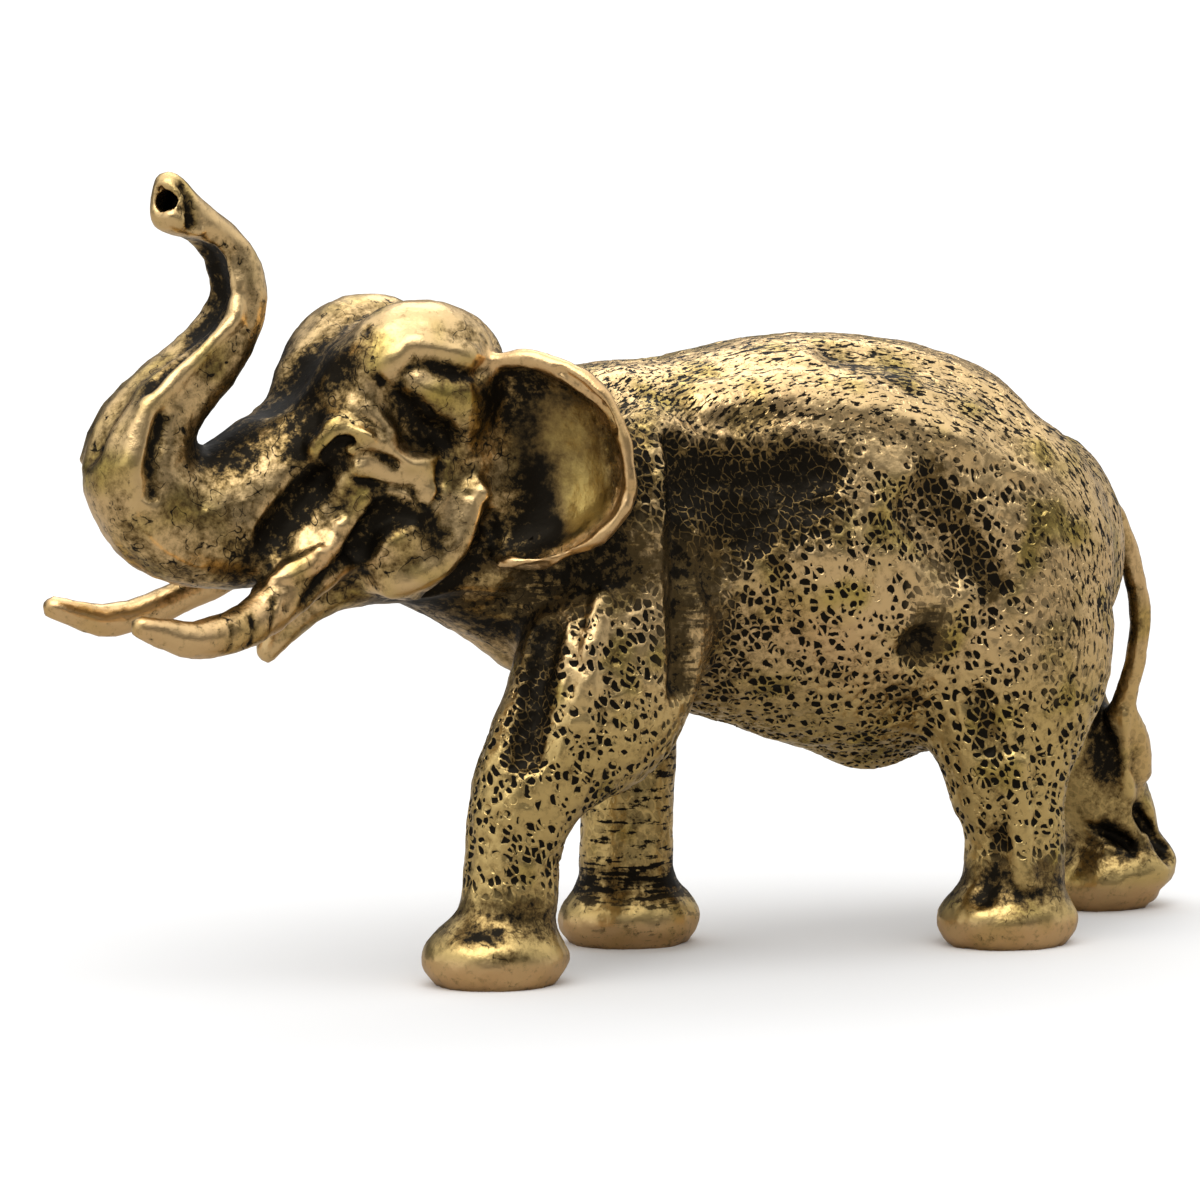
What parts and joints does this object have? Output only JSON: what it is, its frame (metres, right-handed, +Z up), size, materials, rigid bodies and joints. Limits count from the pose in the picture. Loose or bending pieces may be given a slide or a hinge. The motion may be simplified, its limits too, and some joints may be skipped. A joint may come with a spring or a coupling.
{
  "type": "elephant figurine",
  "caption": "Small cast brass elephant walking with its trunk raised in an S, tusks forward and ears spread, standing on flat soles.",
  "frame": {"origin": "on the plane of the soles, midway along the figure's length and midway across it", "axes": "-X the way the elephant walks and looks, -Y its left side, +Z up"},
  "size_m": [0.0646, 0.0214, 0.04],
  "materials": {
    "antique_brass": "cast brass, darkened brown-black in the hollows and pits and rubbed pale gold on raised places, with a copper tint on tusks, ear rims and soles"
  },
  "bodies": {
    "root": {"elephant": "antique_brass"}
  },
  "joints": []
}
